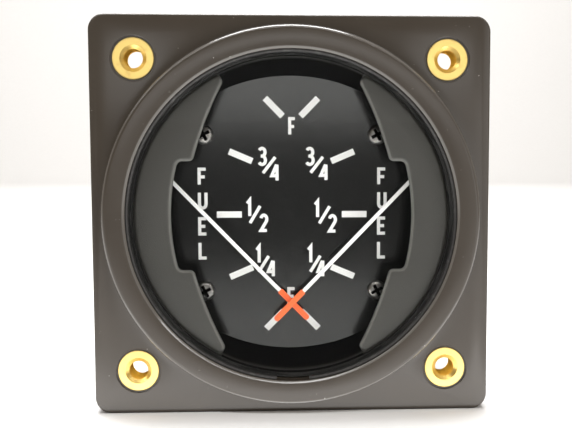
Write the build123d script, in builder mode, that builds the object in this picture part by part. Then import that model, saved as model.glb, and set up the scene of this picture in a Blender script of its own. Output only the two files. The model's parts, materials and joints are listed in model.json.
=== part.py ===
from build123d import *

import os
from math import asin, cos, degrees, radians, sin

# Dual fuel gauge, panel mounted from behind, with two crossed needles under one lens.
# Millimetres. X is right as seen from the front, Z is up and Y runs back into the case.
# The origin is the centre of the flange face that seats against the panel.
# Sizes that end in share are shares of the bore's radius.

# Clearances
slip_gap = 0.15
fit_gap = 0.02
pivot_gap = 0.05
overrun = 1.0

# Flange, front ring and case
flange_margin = 1.65
flange_corner = 2.4
flange_thick = 5.0
flange_round = 0.3
ring_radius = 28.5
ring_height = 2.5
ring_wall = 3.5
ring_round = 0.55
bore_chamfer = 0.35
can_wall = 2.6
can_draft = 0.4
can_round = 1.5
back_wall = 2.5

# Panel screw inserts
insert_inset = 6.58
insert_radius = 3.175
insert_recess = 0.05
insert_mouth_radius = 3.375
insert_mouth_depth = 0.3
insert_thread_radius = 1.4
insert_sink_radius = 1.6
insert_groove_width = 0.8
insert_groove_depth = 0.3
boss_wall = 1.45
boss_height = 2.2

# Lens, its gasket and its split wire ring
lens_seat_depth = 0.45
lens_thick = 1.5
lens_bevel = 0.2
gasket_thick = 0.4
rim_width = 0.6
wire_radius = 0.35
wire_bite = 0.2
wire_split = 5.0

# Pointer mask, one moulding with two crescents and a tapering well
mask_depth = 7.65
mask_plate_depth = 1.35
mask_crescent_rise = 0.6
mask_crescent_rebate = 0.35
crescent_groove = 0.15
crescent_round = 0.15
crescent_tip_angle = 62.9
crescent_tip_width = 1.4
crescent_tip_round = 0.75
crescent_edge_radius = 58.0
notch_width = 5.7
notch_half_height = 8.3
notch_ledge = 2.3
notch_lip_round = 0.3
notch_fillet = 0.9
well_side_draft = 0.25
well_end_draft = 2.65
well_foot_inset = 1.95

# Dial plate and its screws
dial_thick = 0.6
dial_gap = 0.3
dial_cut_width = 4.6
dial_cut_angle = 36.0
screw_height_share = 0.496
screw_head_radius = 1.55
screw_head_height = 0.9
screw_head_round = 0.4
screw_slot_width = 0.45
screw_slot_length = 1.7
screw_slot_depth = 0.45
screw_thread_radius = 1.0
screw_thread_length = 4.6

# Dial rests and key rib moulded in the case
rest_height = 1.7
rest_width = 5.0
rest_angle = 55.0
key_height = 0.8
key_width = 2.0
key_start = 3.0

# Needles
needle_axis_share = 0.548
needle_rest_angle = 45.8
needle_length_share = 0.936
needle_tail_share = 0.36
needle_width = 0.6
needle_thick = 0.3
needle_bend = 0.35
paddle_length = 6.4
paddle_width = 0.92
paddle_point = 0.9
near_lift = 3.0
far_lift = 1.7
needle_hub_radius = 1.5

# Movement frame
foot_height = 1.3
bridge_thick = 1.2
bridge_width = 4.4
bridge_neck = 3.4
bridge_boss_radius = 2.8
column_inner_share = 0.336
column_outer_share = 0.584
seat_gap = 0.05

# Magnet, yoke and coil
core_radius_share = 0.208
core_length = 9.0
core_chamfer = 0.3
yoke_bore_share = 0.296
yoke_radius_share = 0.368
pin_radius = 0.8
pin_core_bite = 2.0
pin_frame_bite = 2.2
coil_side_gap = 0.5
former_wall = 0.3
winding_build = 0.9
coil_width = 3.0
coil_corner = 1.0
coil_end_gap = 0.6

# Staffs, jewels and hairsprings
arm_gap = 1.95
staff_radius = 0.4
staff_base_radius = 1.4
collet_radius = 0.8
collet_length = 0.6
pivot_radius = 0.18
pivot_length = 0.6
pivot_lap = 0.35
jewel_screw_radius = 1.2
jewel_screw_nose = 0.5
jewel_screw_head = 0.8
jewel_slot_width = 0.35
jewel_slot_depth = 0.35
spring_width = 0.5
spring_thick = 0.12
spring_pitch = 0.4
spring_half_turns = 7
anchor_thick = 0.3
anchor_ring_wall = 0.9
anchor_arm_width = 0.9
anchor_lever = 5.6
balance_thick = 0.25
balance_arm_width = 0.6
balance_angle = 62.0
balance_reach_share = 0.248
balance_bead_radius = 0.75
balance_bead_height = 1.1
rear_gap = 2.0

# Rear bridge screws
bridge_screw_radius = 0.9
bridge_screw_length = 4.0
bridge_head_radius = 1.6
bridge_head_height = 1.0

# Circuit board and what it carries
board_gap = 4.0
board_margin = 2.2
board_thick = 1.6
trimmer_size = 6.0
trimmer_height = 3.2
trimmer_corner = 0.4
trimmer_dial_radius = 2.2
trimmer_dial_height = 0.4
trimmer_slot_width = 0.6
trimmer_z = 5.0
resistor_radius = 1.15
resistor_length = 6.3
resistor_lead_radius = 0.3
resistor_lead_pitch = 10.0
resistor_stand_off = 0.4
resistor_pitch = 4.2
resistor_count = 4

# Terminals
terminal_x = 11.0
terminal_z = 7.5
stud_radius = 2.08
stud_head_flats = 6.35
stud_head_height = 2.0
stud_tail = 2.0
stud_point = 0.4
stud_hole_gap = 0.1
spacer_radius = 3.4
spacer_length = 4.7
pad_radius = 5.2
pad_height = 0.6
barrier_height = 4.0
barrier_width = 1.6
barrier_length = 28.0
washer_radius = 4.75
washer_thick = 0.8
nut_flats = 8.73
nut_height = 3.2
lock_washer_radius = 3.9
lock_washer_thick = 1.0
lock_washer_split = 0.9

# Places that follow from those sizes, from the lens back to the terminals
lens_front = lens_seat_depth - lens_thick
wire_depth = lens_front - wire_radius
mask_rim_front = lens_seat_depth + gasket_thick
mask_crescent_front = mask_rim_front - mask_crescent_rebate
mask_plate_front = mask_crescent_front + mask_crescent_rise
mask_plate_back = mask_rim_front + mask_plate_depth
dial_front = mask_rim_front + mask_depth
dial_back = dial_front + dial_thick
bridge_front = dial_back + foot_height
bridge_back = bridge_front + bridge_thick
arm_front = bridge_back + arm_gap
arm_back = arm_front + needle_thick
coil_front = arm_back + collet_length
window_front = coil_front + winding_build + former_wall
core_front = window_front + coil_end_gap
core_back = core_front + core_length
window_back = core_back + coil_end_gap
coil_back = window_back + former_wall + winding_build
rear_bridge_front = coil_back + rear_gap
rear_bridge_back = rear_bridge_front + bridge_thick
board_front = rear_bridge_back + board_gap
board_back = board_front + board_thick
case_floor = board_back + spacer_length
case_back = case_floor + back_wall
pad_back = case_back + pad_height
washer_back = pad_back + washer_thick
first_nut_back = washer_back + nut_height
lock_washer_back = first_nut_back + lock_washer_thick
second_nut_back = lock_washer_back + nut_height
stud_end = second_nut_back + stud_tail

flange_size = 2 * (ring_radius + flange_margin)
insert_pitch = flange_size - 2 * insert_inset
bore_radius = ring_radius - ring_wall
can_radius = bore_radius + can_wall
fitted_radius = bore_radius - slip_gap
rim_bore = fitted_radius - rim_width
crescent_radius = rim_bore - crescent_groove
well_width = rim_bore - well_side_draft
well_height = rim_bore - well_end_draft
well_foot_height = fitted_radius - well_foot_inset
dial_radius = bore_radius - dial_gap
dial_cut_radius = dial_radius - dial_cut_width
board_radius = bore_radius - board_margin
wire_ring_radius = bore_radius - wire_radius + wire_bite
screw_height = bore_radius * screw_height_share
needle_axis_x = bore_radius * needle_axis_share
notch_radius = needle_axis_x + crescent_radius - notch_width
needle_length = bore_radius * needle_length_share
needle_tail = bore_radius * needle_tail_share
column_inner = bore_radius * column_inner_share
column_outer = bore_radius * column_outer_share
core_radius = bore_radius * core_radius_share
yoke_bore = bore_radius * yoke_bore_share
yoke_radius = bore_radius * yoke_radius_share
balance_reach = bore_radius * balance_reach_share
insert_circle = insert_pitch * 0.5**0.5
boss_radius = insert_mouth_radius + boss_wall
boss_back = flange_thick + boss_height
core_middle = (core_front + core_back) / 2
coil_inner = core_radius + coil_side_gap
former_outer = coil_inner + former_wall
coil_outer = former_outer + winding_build
spring_start = collet_radius + spring_thick / 2
spring_end = spring_start + spring_pitch * (spring_half_turns - 1)
anchor_reach = spring_end + spring_thick / 2
anchor_ring_bore = jewel_screw_radius + fit_gap
anchor_ring_radius = anchor_ring_bore + anchor_ring_wall
needle_depths = {"left": dial_front - far_lift, "right": dial_front - near_lift}


def depth(y):
    """Sketch plane that faces the viewer, y behind the panel seat."""
    return Plane.XZ.offset(-y)


def movement_depth(side, y):
    """The same, centred on one needle's axis."""
    return Plane(origin=(side * needle_axis_x, y, 0), x_dir=(side, 0, 0), z_dir=(0, -1, 0))


def needle_direction(side):
    """From a needle's axis to its tip at rest, just below the empty mark."""
    angle = radians(needle_rest_angle)
    return (-side * cos(angle), 0, -sin(angle))


def needle_depth(side, y):
    """Sketch plane that faces the viewer, with its x axis along the needle."""
    return Plane(origin=(side * needle_axis_x, y, 0), x_dir=needle_direction(side), z_dir=(0, -1, 0))


def needle_section(side):
    """Sketch plane through a needle's axis, x along the needle and y into the case."""
    along = needle_direction(side)
    across = (-along[2], 0, along[0])
    return Plane(origin=(side * needle_axis_x, 0, 0), x_dir=along, z_dir=across)


def axis_section(side):
    """Half section plane of a piece turned about one needle's axis."""
    return Plane(origin=(side * needle_axis_x, 0, 0), x_dir=(1, 0, 0), z_dir=(0, 0, 1))


def needle_axis(side):
    return Axis((side * needle_axis_x, 0, 0), (0, 1, 0))


def half_section(plane, outline):
    """Face inside a closed outline of (radius, depth) points, to be turned."""
    with BuildSketch(plane) as face:
        with BuildLine():
            Polyline(*outline, close=True)
        make_face()
    return face.sketch


def crescent_pair(outer):
    """Both crescents as one sketch: long arc, step and notch, out to the given radius.
    Each notch follows a circle about the other needle's axis."""
    notch_angle = degrees(asin(notch_half_height / notch_radius))
    notch_x = notch_radius * cos(radians(notch_angle)) - needle_axis_x
    step_x = notch_x - notch_ledge
    tip_radius = crescent_radius - crescent_tip_width
    tip_x = tip_radius * cos(radians(crescent_tip_angle))
    tip_y = tip_radius * sin(radians(crescent_tip_angle))
    with BuildSketch() as pair:
        with BuildLine():
            rim = CenterArc((0, 0), outer, -crescent_tip_angle, 2 * crescent_tip_angle)
            notch = CenterArc((-needle_axis_x, 0), notch_radius, -notch_angle, 2 * notch_angle)
            for end, up in ((0, -1), (1, 1)):
                Line(rim @ end, (tip_x, up * tip_y))
                RadiusArc((tip_x, up * tip_y), (step_x, up * notch_half_height), up * crescent_edge_radius)
                Line((step_x, up * notch_half_height), notch @ end)
        make_face()
        middle = vertices().sort_by(Axis.Y)[2:-2].sort_by(Axis.X)
        fillet(middle[-2:], notch_fillet)
        fillet(middle[:2], notch_lip_round)
        corners = vertices().sort_by(Axis.Y)
        fillet([corners[0], corners[1], corners[-2], corners[-1]], crescent_tip_round)
        mirror(about=Plane.YZ)
    return pair.sketch


def stud_rings(back, outer):
    """Rings round the four studs."""
    with BuildSketch(depth(back)) as rings:
        with GridLocations(2 * terminal_x, 2 * terminal_z, 2, 2):
            Circle(outer)
            Circle(stud_radius + stud_hole_gap, mode=Mode.SUBTRACT)
    return rings.sketch


def stud_hexagons(back):
    """Nut outlines round the four studs."""
    with BuildSketch(depth(back)) as hexagons:
        with GridLocations(2 * terminal_x, 2 * terminal_z, 2, 2):
            RegularPolygon(nut_flats / 2, 6, major_radius=False)
            Circle(stud_radius + fit_gap, mode=Mode.SUBTRACT)
    return hexagons.sketch


def save(piece, name):
    piece.part.label = name
    export_step(piece.part, f"parts/{name}.step")


os.makedirs("parts", exist_ok=True)

# Case: flange, front ring and can in one moulding, closed at the back
with BuildPart() as case_body:
    with BuildSketch(depth(flange_thick)):
        RectangleRounded(flange_size, flange_size, flange_corner)
        Circle(bore_radius, mode=Mode.SUBTRACT)
    extrude(amount=flange_thick)
    fillet(faces().sort_by(Axis.Y)[0].outer_wire().edges(), flange_round)
    fillet(faces().sort_by(Axis.Y)[-1].outer_wire().edges(), flange_round)

    # Insert bosses, webbed to the can
    web = insert_circle - boss_radius - (can_radius - can_wall / 2)
    with BuildSketch(depth(boss_back)):
        with PolarLocations(insert_circle - web / 2, 4, start_angle=45):
            SlotCenterToCenter(web, 2 * boss_radius)
    extrude(amount=boss_height)

    can_outline = [
        (0, case_floor),
        (bore_radius, case_floor),
        (bore_radius, -ring_height),
        (ring_radius, -ring_height),
        (ring_radius, 0),
        (can_radius, 0),
        (can_radius - can_draft, case_back),
        (0, case_back),
    ]
    revolve(half_section(Plane.XY, can_outline), axis=Axis.Y)
    rim = edges().filter_by(GeomType.CIRCLE).group_by(Axis.Y)[0].sort_by(SortBy.RADIUS)
    fillet(rim[-1], ring_round)
    chamfer(rim[0], bore_chamfer)
    fillet(edges().filter_by(GeomType.CIRCLE).group_by(Axis.Y)[-1], can_round)

    # Rests that carry the dial plate, and the key rib that stops it turning
    rest_length = rest_height + can_wall / 2
    with BuildSketch(depth(case_floor)):
        for angle in (rest_angle, 180 - rest_angle):
            with PolarLocations(bore_radius - rest_height + rest_length / 2, 2, start_angle=angle):
                Rectangle(rest_length, rest_width)
    extrude(amount=case_floor - dial_back)
    with BuildSketch(depth(case_floor)):
        with Locations((0, -bore_radius)):
            Rectangle(key_width, 2 * key_height)
    extrude(amount=case_floor - key_start)

    # Groove for the lens wire
    with BuildSketch(Plane.XY):
        with Locations((wire_ring_radius, wire_depth)):
            Circle(wire_radius + fit_gap)
    revolve(axis=Axis.Y, mode=Mode.SUBTRACT)

    # Insert holes with their wider mouths
    with BuildSketch(depth(boss_back)):
        with GridLocations(insert_pitch, insert_pitch, 2, 2):
            Circle(insert_radius)
    extrude(amount=boss_back, mode=Mode.SUBTRACT)
    with BuildSketch(depth(insert_mouth_depth)):
        with GridLocations(insert_pitch, insert_pitch, 2, 2):
            Circle(insert_mouth_radius)
    extrude(amount=insert_mouth_depth, mode=Mode.SUBTRACT)

    # Terminal pads and the barrier ribs between them
    with BuildSketch(depth(pad_back)):
        with GridLocations(2 * terminal_x, 2 * terminal_z, 2, 2):
            Circle(pad_radius)
    extrude(amount=pad_height)
    with BuildSketch(depth(case_back + barrier_height)):
        Rectangle(barrier_width, barrier_length)
        Rectangle(barrier_length, barrier_width)
    extrude(amount=barrier_height)
    with BuildSketch(depth(pad_back)):
        with GridLocations(2 * terminal_x, 2 * terminal_z, 2, 2):
            Circle(stud_radius + stud_hole_gap)
    extrude(amount=back_wall + pad_height, mode=Mode.SUBTRACT)
save(case_body, "case_body")

# Four threaded brass inserts, flush in the flange corners
with BuildPart() as flange_inserts:
    with BuildSketch(depth(boss_back)):
        with GridLocations(insert_pitch, insert_pitch, 2, 2):
            Circle(insert_radius)
            Circle(insert_thread_radius, mode=Mode.SUBTRACT)
    extrude(amount=boss_back - insert_recess)
    mouths = edges().filter_by(GeomType.CIRCLE).group_by(Axis.Y)[0].group_by(SortBy.RADIUS)[0]
    chamfer(mouths, insert_sink_radius - insert_thread_radius)
    groove_back = (boss_back + insert_groove_width) / 2
    with BuildSketch(depth(groove_back)):
        with GridLocations(insert_pitch, insert_pitch, 2, 2):
            Circle(insert_radius)
            Circle(insert_radius - insert_groove_depth, mode=Mode.SUBTRACT)
    extrude(amount=insert_groove_width, mode=Mode.SUBTRACT)
save(flange_inserts, "flange_inserts")

# Split wire ring that snaps in front of the lens
with BuildPart() as lens_retaining_ring:
    split_angle = degrees(wire_split / wire_ring_radius)
    with BuildLine(depth(wire_depth)) as wire:
        CenterArc((0, 0), wire_ring_radius, 90 + split_angle / 2, 360 - split_angle)
    with BuildSketch(Plane(origin=wire.line @ 0, z_dir=wire.line % 0)):
        Circle(wire_radius)
    sweep()
save(lens_retaining_ring, "lens_retaining_ring")

# Flat glass lens with ground edges
with BuildPart() as lens:
    with BuildSketch(depth(lens_seat_depth)):
        Circle(fitted_radius)
    extrude(amount=lens_thick)
    chamfer(edges(), lens_bevel)
save(lens, "lens")

# Gasket between the lens and the mask
with BuildPart() as lens_gasket:
    with BuildSketch(depth(mask_rim_front)):
        Circle(fitted_radius)
        Circle(rim_bore, mode=Mode.SUBTRACT)
    extrude(amount=gasket_thick)
save(lens_gasket, "lens_gasket")

# Raised fronts of the two crescents, set back from the rim of the mask
with BuildPart() as crescent_fronts:
    with BuildSketch(depth(mask_plate_front)):
        add(crescent_pair(crescent_radius))
    extrude(amount=mask_plate_front - mask_crescent_front)
    fillet(faces().sort_by(Axis.Y)[:2].edges(), crescent_round)

# Pointer mask: crescents over the needle tails, above a well that tapers to the dial
with BuildPart() as pointer_mask:
    with BuildSketch(depth(mask_plate_back)):
        Circle(fitted_radius)
    extrude(amount=mask_plate_back - mask_rim_front)
    with BuildSketch(depth(mask_plate_back)):
        Circle(fitted_radius)
    with BuildSketch(depth(dial_front)):
        Ellipse(fitted_radius, well_foot_height)
    loft(ruled=True)
    with BuildSketch(depth(mask_plate_back)):
        Circle(rim_bore)
    with BuildSketch(depth(dial_front)):
        Ellipse(well_width, well_height)
    loft(ruled=True, mode=Mode.SUBTRACT)
    with BuildSketch(depth(mask_plate_back)):
        Circle(rim_bore)
    extrude(amount=mask_plate_depth, mode=Mode.SUBTRACT)

    with BuildSketch(depth(mask_plate_back)):
        add(crescent_pair(fitted_radius))
    extrude(amount=mask_plate_back - mask_plate_front)
    add(crescent_fronts.part)
    with BuildSketch(depth(dial_front)):
        with Locations((0, -bore_radius)):
            Rectangle(key_width + 2 * slip_gap, 2 * (key_height + slip_gap))
    extrude(amount=dial_front - key_start + slip_gap, mode=Mode.SUBTRACT)
save(pointer_mask, "pointer_mask")

# Dial plate, cut back at both sides for the needle tails
with BuildPart() as dial_plate:
    with BuildSketch(depth(dial_back)):
        Circle(dial_radius)
        for start in (-dial_cut_angle, 180 - dial_cut_angle):
            with BuildLine():
                inner = CenterArc((0, 0), dial_cut_radius, start, 2 * dial_cut_angle)
                outer = CenterArc((0, 0), dial_radius + overrun, start, 2 * dial_cut_angle)
                Line(inner @ 0, outer @ 0)
                Line(inner @ 1, outer @ 1)
            make_face(mode=Mode.SUBTRACT)
        with GridLocations(2 * needle_axis_x, 2 * screw_height, 2, 2):
            Circle(screw_thread_radius + slip_gap, mode=Mode.SUBTRACT)
        with Locations((0, -bore_radius)):
            Rectangle(key_width + 2 * slip_gap, 2 * (key_height + slip_gap), mode=Mode.SUBTRACT)
    extrude(amount=dial_thick)
save(dial_plate, "dial_plate")

# Four pan head screws that hold both movements behind the dial
with BuildPart() as dial_screws:
    with BuildSketch(depth(dial_front)):
        with GridLocations(2 * needle_axis_x, 2 * screw_height, 2, 2):
            Circle(screw_head_radius)
    extrude(amount=screw_head_height)
    fillet(edges().group_by(Axis.Y)[0], screw_head_round)
    with BuildSketch(depth(dial_back + screw_thread_length)):
        with GridLocations(2 * needle_axis_x, 2 * screw_height, 2, 2):
            Circle(screw_thread_radius)
    extrude(amount=dial_back + screw_thread_length - dial_front)
    with BuildSketch(depth(dial_front - screw_head_height + screw_slot_depth)):
        with GridLocations(2 * needle_axis_x, 2 * screw_height, 2, 2):
            Rectangle(screw_slot_length, screw_slot_width)
            Rectangle(screw_slot_width, screw_slot_length)
    extrude(amount=screw_slot_depth, mode=Mode.SUBTRACT)
save(dial_screws, "dial_screws")

# The two movements mirror each other
for name, side in (("left", -1), ("right", 1)):
    axis = needle_axis(side)
    section = axis_section(side)
    blade_depth = needle_depths[name]

    # Needle: one strip folded from its hub, round the edge of the dial, to its tip
    with BuildPart() as needle:
        half = needle_thick / 2
        arm = arm_front + half
        with BuildSketch(needle_section(side)):
            with BuildLine():
                Polyline(
                    (-staff_base_radius / 2, arm - half),
                    (-needle_tail + half, arm - half),
                    (-needle_tail + half, blade_depth + half),
                    (needle_length - paddle_length, blade_depth + half),
                    (needle_length - paddle_length, blade_depth - half),
                    (-needle_tail - half, blade_depth - half),
                    (-needle_tail - half, arm + half),
                    (-staff_base_radius / 2, arm + half),
                    close=True,
                )
            make_face()
            bends = vertices().sort_by(Axis.X)
            fillet(bends[:2], needle_bend + needle_thick)
            bends = vertices().filter_by(lambda v: abs(v.X + needle_tail - half) < fit_gap)
            fillet(bends, needle_bend)
        extrude(amount=needle_width / 2, both=True)
        with BuildSketch(needle_depth(side, blade_depth + half)):
            with BuildLine():
                Polyline(
                    (needle_length - paddle_length, -paddle_width / 2),
                    (needle_length - paddle_point, -paddle_width / 2),
                    (needle_length, 0),
                    (needle_length - paddle_point, paddle_width / 2),
                    (needle_length - paddle_length, paddle_width / 2),
                    close=True,
                )
            make_face()
        extrude(amount=needle_thick)
        with BuildSketch(needle_depth(side, arm_back)):
            Circle(needle_hub_radius)
        extrude(amount=needle_thick)
        with BuildSketch(needle_depth(side, arm_back)):
            Circle(staff_radius + fit_gap)
        extrude(amount=needle_thick, mode=Mode.SUBTRACT)
    save(needle, f"{name}_needle")

    # Cross arms with two small weights that balance the needle
    with BuildPart() as balance_cross:
        with BuildSketch(needle_depth(side, arm_front)):
            Circle(needle_hub_radius)
            for turn in (180 - balance_angle, 180 + balance_angle):
                reach = (balance_reach * cos(radians(turn)), balance_reach * sin(radians(turn)))
                with BuildLine():
                    Line((0, 0), reach)
                trace(line_width=balance_arm_width)
            Circle(staff_radius + fit_gap, mode=Mode.SUBTRACT)
        extrude(amount=balance_thick)
        with BuildSketch(needle_depth(side, arm_front)):
            with PolarLocations(balance_reach, 2, 180 - balance_angle, 4 * balance_angle):
                Circle(balance_bead_radius)
        extrude(amount=balance_bead_height)
    save(balance_cross, f"{name}_balance_cross")

    # Coil former, an open rectangle of thin aluminium round the magnet
    with BuildPart() as coil_former:
        with BuildSketch(needle_section(side)):
            with Locations((0, core_middle)):
                RectangleRounded(2 * former_outer, window_back - window_front + 2 * former_wall, coil_corner)
                Rectangle(2 * coil_inner, window_back - window_front, mode=Mode.SUBTRACT)
        extrude(amount=coil_width / 2, both=True)
    save(coil_former, f"{name}_coil_former")

    # Winding over the former
    with BuildPart() as coil_winding:
        with BuildSketch(needle_section(side)):
            with Locations((0, core_middle)):
                RectangleRounded(2 * coil_outer, coil_back - coil_front, coil_corner + winding_build)
                RectangleRounded(
                    2 * former_outer,
                    window_back - window_front + 2 * former_wall,
                    coil_corner,
                    mode=Mode.SUBTRACT,
                )
        extrude(amount=coil_width / 2, both=True)
    save(coil_winding, f"{name}_coil_winding")

    # Steel staffs with pointed pivots, one at each end of the coil
    with BuildPart() as pivot_staffs:
        front_pivot = bridge_back + jewel_screw_nose - pivot_lap
        front_shoulder = front_pivot + pivot_length
        rear_pivot = rear_bridge_front - jewel_screw_nose + pivot_lap
        rear_shoulder = rear_pivot - pivot_length
        front_outline = [
            (0, front_pivot),
            (pivot_radius, front_pivot + pivot_radius),
            (pivot_radius, front_shoulder),
            (collet_radius, front_shoulder),
            (collet_radius, front_shoulder + collet_length),
            (staff_radius, front_shoulder + collet_length),
            (staff_radius, arm_back),
            (staff_base_radius, arm_back),
            (staff_base_radius, coil_front),
            (0, coil_front),
        ]
        rear_outline = [
            (0, coil_back),
            (staff_base_radius, coil_back),
            (staff_base_radius, coil_back + staff_radius),
            (collet_radius, coil_back + staff_radius),
            (collet_radius, rear_shoulder),
            (pivot_radius, rear_shoulder),
            (pivot_radius, rear_pivot - pivot_radius),
            (0, rear_pivot),
        ]
        revolve(half_section(section, front_outline), axis=axis)
        revolve(half_section(section, rear_outline), axis=axis)
    save(pivot_staffs, f"{name}_pivot_staffs")

    # Flat spiral hairsprings, wound from half turns that grow by one step each
    spring_backs = {"front": front_shoulder + spring_width, "rear": rear_shoulder}
    for place, spring_back in spring_backs.items():
        with BuildPart() as hairspring:
            with BuildSketch(movement_depth(side, spring_back)):
                with BuildLine():
                    for turn in range(spring_half_turns):
                        middle = (spring_pitch * (turn % 2), 0)
                        radius = spring_start + spring_pitch * turn
                        start = 180 * (turn % 2)
                        inner = CenterArc(middle, radius - spring_thick / 2, start, 180)
                        outer = CenterArc(middle, radius + spring_thick / 2, start, 180)
                        if turn == 0:
                            Line(inner @ 0, outer @ 0)
                    Line(inner @ 1, outer @ 1)
                make_face()
            extrude(amount=spring_width)
        save(hairspring, f"{name}_{place}_hairspring")

    # Lever and anchor that hold the outer ends of the hairsprings
    with BuildPart() as zero_lever:
        with BuildSketch(movement_depth(side, bridge_back + anchor_thick)):
            Circle(anchor_ring_radius)
            Rectangle(anchor_reach + anchor_thick, anchor_arm_width, align=(Align.MAX, Align.CENTER))
            Rectangle(anchor_lever, anchor_arm_width, align=(Align.MIN, Align.CENTER))
            Circle(anchor_ring_bore, mode=Mode.SUBTRACT)
        extrude(amount=anchor_thick)
        with BuildSketch(movement_depth(side, spring_backs["front"])):
            with Locations((-anchor_reach - anchor_thick / 2, 0)):
                Rectangle(anchor_thick, anchor_arm_width)
        extrude(amount=spring_backs["front"] - bridge_back)
    save(zero_lever, f"{name}_zero_lever")

    with BuildPart() as rear_anchor:
        with BuildSketch(movement_depth(side, rear_bridge_front)):
            Circle(anchor_ring_radius)
            Rectangle(anchor_reach + anchor_thick, anchor_arm_width, align=(Align.MAX, Align.CENTER))
            Circle(anchor_ring_bore, mode=Mode.SUBTRACT)
        extrude(amount=anchor_thick)
        with BuildSketch(movement_depth(side, rear_bridge_front)):
            with Locations((-anchor_reach - anchor_thick / 2, 0)):
                Rectangle(anchor_thick, anchor_arm_width)
        extrude(amount=rear_bridge_front - rear_shoulder + spring_width)
    save(rear_anchor, f"{name}_rear_anchor")

    # Movement frame: front bridge and two columns, cast in one
    with BuildPart() as movement_frame:
        with BuildSketch(movement_depth(side, bridge_back)):
            Rectangle(bridge_neck, 2 * column_outer)
            Circle(bridge_boss_radius)
        extrude(amount=bridge_thick)
        column_length = column_outer - column_inner
        with BuildSketch(movement_depth(side, rear_bridge_front)):
            with GridLocations(0, column_outer + column_inner, 1, 2):
                RectangleRounded(bridge_width, column_length, bridge_width / 4)
        extrude(amount=rear_bridge_front - bridge_front)
        with BuildSketch(movement_depth(side, bridge_front)):
            with GridLocations(0, 2 * screw_height, 1, 2):
                Circle(bridge_width / 2)
        extrude(amount=foot_height)
        with BuildSketch(movement_depth(side, rear_bridge_front)):
            Circle(yoke_radius + seat_gap)
        extrude(amount=rear_bridge_front - core_front + seat_gap, mode=Mode.SUBTRACT)
        with BuildSketch(movement_depth(side, dial_back + screw_thread_length + overrun)):
            with GridLocations(0, 2 * screw_height, 1, 2):
                Circle(screw_thread_radius + fit_gap)
        extrude(amount=screw_thread_length + overrun, mode=Mode.SUBTRACT)
        with BuildSketch(movement_depth(side, rear_bridge_front)):
            with GridLocations(0, 2 * screw_height, 1, 2):
                Circle(bridge_screw_radius + fit_gap)
        extrude(amount=bridge_screw_length, mode=Mode.SUBTRACT)
        with BuildSketch(movement_depth(side, bridge_back)):
            Circle(jewel_screw_radius + fit_gap)
        extrude(amount=bridge_thick, mode=Mode.SUBTRACT)
        with Locations((side * needle_axis_x, core_middle, 0)):
            Cylinder(
                pin_radius + fit_gap,
                2 * (yoke_radius + pin_frame_bite),
                mode=Mode.SUBTRACT,
            )
    save(movement_frame, f"{name}_movement_frame")

    # Soft iron yoke ring
    with BuildPart() as yoke_ring:
        with BuildSketch(movement_depth(side, core_back)):
            Circle(yoke_radius)
            Circle(yoke_bore, mode=Mode.SUBTRACT)
        extrude(amount=core_length)
        with Locations((side * needle_axis_x, core_middle, 0)):
            Cylinder(pin_radius + fit_gap, 2 * (yoke_radius + overrun), mode=Mode.SUBTRACT)
    save(yoke_ring, f"{name}_yoke_ring")

    # Cylindrical magnet inside the coil
    with BuildPart() as core_magnet:
        with BuildSketch(movement_depth(side, core_back)):
            Circle(core_radius)
        extrude(amount=core_length)
        chamfer(edges().filter_by(GeomType.CIRCLE), core_chamfer)
        hole_middle = core_radius + (overrun - pin_core_bite) / 2
        for end in (-1, 1):
            with Locations((side * needle_axis_x, core_middle, end * hole_middle)):
                Cylinder(pin_radius + fit_gap, pin_core_bite + overrun, mode=Mode.SUBTRACT)
    save(core_magnet, f"{name}_core_magnet")

    # Two pins that carry the magnet and the yoke from the columns
    with BuildPart() as core_pins:
        pin_start = core_radius - pin_core_bite
        pin_end = yoke_radius + pin_frame_bite
        for end in (-1, 1):
            with Locations((side * needle_axis_x, core_middle, end * (pin_start + pin_end) / 2)):
                Cylinder(pin_radius, pin_end - pin_start)
    save(core_pins, f"{name}_core_pins")

    # Rear bridge and its two screws
    with BuildPart() as rear_bridge:
        with BuildSketch(movement_depth(side, rear_bridge_back)):
            RectangleRounded(bridge_width, 2 * column_outer, bridge_width / 4)
            Circle(bridge_boss_radius)
            Circle(jewel_screw_radius + fit_gap, mode=Mode.SUBTRACT)
            with GridLocations(0, 2 * screw_height, 1, 2):
                Circle(bridge_screw_radius + fit_gap, mode=Mode.SUBTRACT)
        extrude(amount=bridge_thick)
    save(rear_bridge, f"{name}_rear_bridge")

    with BuildPart() as bridge_screws:
        head_back = rear_bridge_back + bridge_head_height
        with BuildSketch(movement_depth(side, head_back)):
            with GridLocations(0, 2 * screw_height, 1, 2):
                Circle(bridge_head_radius)
        extrude(amount=bridge_head_height)
        chamfer(edges().group_by(Axis.Y)[-1], bridge_head_height / 3)
        with BuildSketch(movement_depth(side, rear_bridge_back)):
            with GridLocations(0, 2 * screw_height, 1, 2):
                Circle(bridge_screw_radius)
        extrude(amount=bridge_thick + bridge_screw_length)
        with BuildSketch(movement_depth(side, head_back)):
            with GridLocations(0, 2 * screw_height, 1, 2):
                Rectangle(2 * bridge_head_radius, screw_slot_width)
        extrude(amount=bridge_head_height / 2, mode=Mode.SUBTRACT)
    save(bridge_screws, f"{name}_bridge_screws")

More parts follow.
